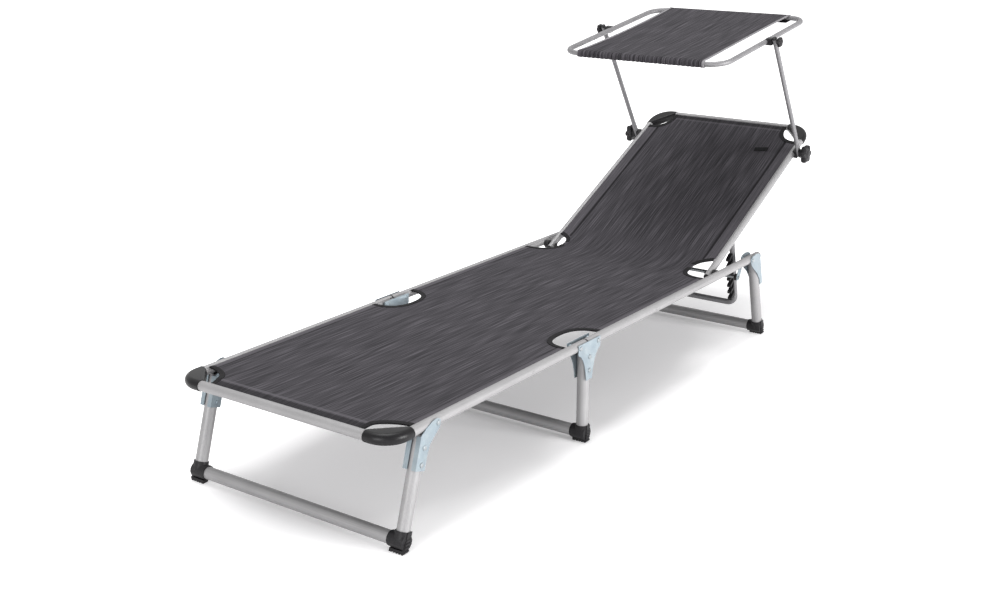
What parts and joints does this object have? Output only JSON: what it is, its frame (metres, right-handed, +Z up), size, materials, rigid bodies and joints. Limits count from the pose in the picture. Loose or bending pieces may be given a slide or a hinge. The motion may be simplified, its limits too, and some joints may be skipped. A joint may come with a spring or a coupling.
{
  "type": "sun lounger with canopy",
  "caption": "Folding sun lounger: fabric bed on tube rails and splayed folding legs, reclining backrest with a toothed prop, and a tilting sunshade on clamped arms.",
  "frame": {"origin": "on the ground, at the centre of the lounger's outline", "axes": "+Z up, +Y from the foot end to the head end, +X to the right of someone who stands at the foot end and looks at the head end; names with right are on +X"},
  "size_m": [0.6006, 2.0042, 0.8691],
  "materials": {
    "anodised_tube": "matt anodised, extrusion streaks along the tube",
    "zinc_plate": "bluish zinc plating",
    "black_plastic": "fine moulded grain",
    "satin_sleeve": "satin black",
    "sling_fabric": "dark grey coated mesh, streaks along the lounger",
    "steel_bar": "drawn steel"
  },
  "bodies": {
    "seat_frame": {"rail_left": "anodised_tube", "rail_right": "anodised_tube", "rail_plug_left": "anodised_tube", "rail_plug_right": "anodised_tube", "seat_sling": "sling_fabric", "hinge_block_left": "black_plastic", "hinge_block_right": "black_plastic"},
    "mid_leg": {"mid_leg_left": "anodised_tube", "mid_leg_right": "anodised_tube", "mid_crossbar": "anodised_tube", "mid_foot_left": "black_plastic", "mid_foot_right": "black_plastic", "fold_gusset_left": "zinc_plate", "fold_gusset_right": "zinc_plate"},
    "foot_frame": {"foot_rail_frame": "anodised_tube", "corner_sleeve_left": "satin_sleeve", "corner_sleeve_right": "satin_sleeve", "split_ring_left": "black_plastic", "split_ring_right": "black_plastic", "foot_sling": "sling_fabric"},
    "front_leg": {"front_leg_left": "anodised_tube", "front_leg_right": "anodised_tube", "front_crossbar": "anodised_tube", "front_foot_left": "black_plastic", "front_foot_right": "black_plastic", "front_bracket_left": "zinc_plate", "front_bracket_right": "zinc_plate"},
    "rear_leg": {"rear_leg_left": "anodised_tube", "rear_leg_right": "anodised_tube", "rear_crossbar": "anodised_tube", "rear_foot_left": "black_plastic", "rear_foot_right": "black_plastic", "rear_bracket_left": "zinc_plate", "rear_bracket_right": "zinc_plate", "prop_rest_bar": "steel_bar", "bar_bush_left": "black_plastic", "bar_bush_right": "black_plastic"},
    "backrest": {"backrest_frame": "anodised_tube", "back_sleeve_left": "satin_sleeve", "back_sleeve_right": "satin_sleeve", "back_sling": "sling_fabric", "back_hinge_bush_left": "black_plastic", "back_hinge_bush_right": "black_plastic", "arm_clamp_block_left": "black_plastic", "arm_clamp_block_right": "black_plastic"},
    "prop": {"prop_bow": "anodised_tube", "ratchet_left": "black_plastic", "ratchet_right": "black_plastic"},
    "canopy_arms": {"canopy_arm_left": "anodised_tube", "canopy_arm_right": "anodised_tube", "arm_cap_left": "black_plastic", "arm_cap_right": "black_plastic"},
    "canopy": {"canopy_frame": "anodised_tube", "canopy_cover": "sling_fabric", "canopy_block_left": "black_plastic", "canopy_block_right": "black_plastic"},
    "lower_knob_left_body": {"lower_knob_left": "black_plastic"},
    "lower_knob_right_body": {"lower_knob_right": "black_plastic"},
    "upper_knob_left_body": {"upper_knob_left": "black_plastic"},
    "upper_knob_right_body": {"upper_knob_right": "black_plastic"}
  },
  "joints": [
    {"name": "fold_mid", "type": "hinge", "parent": "seat_frame", "child": "mid_leg", "pos_m": [0, -0.264, 0.24], "axis": [1, 0, 0], "range_deg": [0, 90]},
    {"name": "fold_foot", "type": "hinge", "parent": "mid_leg", "child": "foot_frame", "pos_m": [0, -0.338, 0.24], "axis": [1, 0, 0], "range_deg": [0, 90]},
    {"name": "front_leg_fold", "type": "hinge", "parent": "foot_frame", "child": "front_leg", "pos_m": [0, -0.859, 0.24], "axis": [1, 0, 0], "range_deg": [0, 105]},
    {"name": "rear_leg_fold", "type": "hinge", "parent": "seat_frame", "child": "rear_leg", "pos_m": [0, 0.55, 0.24], "axis": [-1, 0, 0], "range_deg": [0, 104]},
    {"name": "recline", "type": "hinge", "parent": "seat_frame", "child": "backrest", "pos_m": [0, 0.383, 0.236], "axis": [-1, 0, 0], "range_deg": [-34, 26]},
    {"name": "prop_swing", "type": "hinge", "parent": "backrest", "child": "prop", "pos_m": [0, 0.54653, 0.31131], "axis": [1, 0, 0], "range_deg": [-21.1, 16.2]},
    {"name": "arm_swing", "type": "hinge", "parent": "backrest", "child": "canopy_arms", "pos_m": [0, 0.88632, 0.48149], "axis": [-1, 0, 0], "range_deg": [-50, 60]},
    {"name": "canopy_tilt", "type": "hinge", "parent": "canopy_arms", "child": "canopy", "pos_m": [0, 0.67329, 0.8224], "axis": [1, 0, 0], "range_deg": [-40, 40]},
    {"name": "lower_knob_turn_left", "type": "hinge", "parent": "canopy_arms", "child": "lower_knob_left_body", "pos_m": [0, 0.88632, 0.48149], "axis": [1, 0, 0], "continuous": true},
    {"name": "upper_knob_turn_left", "type": "hinge", "parent": "canopy", "child": "upper_knob_left_body", "pos_m": [0, 0.67329, 0.8224], "axis": [1, 0, 0], "continuous": true},
    {"name": "lower_knob_turn_right", "type": "hinge", "parent": "canopy_arms", "child": "lower_knob_right_body", "pos_m": [0, 0.88632, 0.48149], "axis": [1, 0, 0], "continuous": true},
    {"name": "upper_knob_turn_right", "type": "hinge", "parent": "canopy", "child": "upper_knob_right_body", "pos_m": [0, 0.67329, 0.8224], "axis": [1, 0, 0], "continuous": true}
  ],
  "couplings": [
    {"joint": "prop_swing", "follows": "recline", "ratio": 0.62}
  ]
}
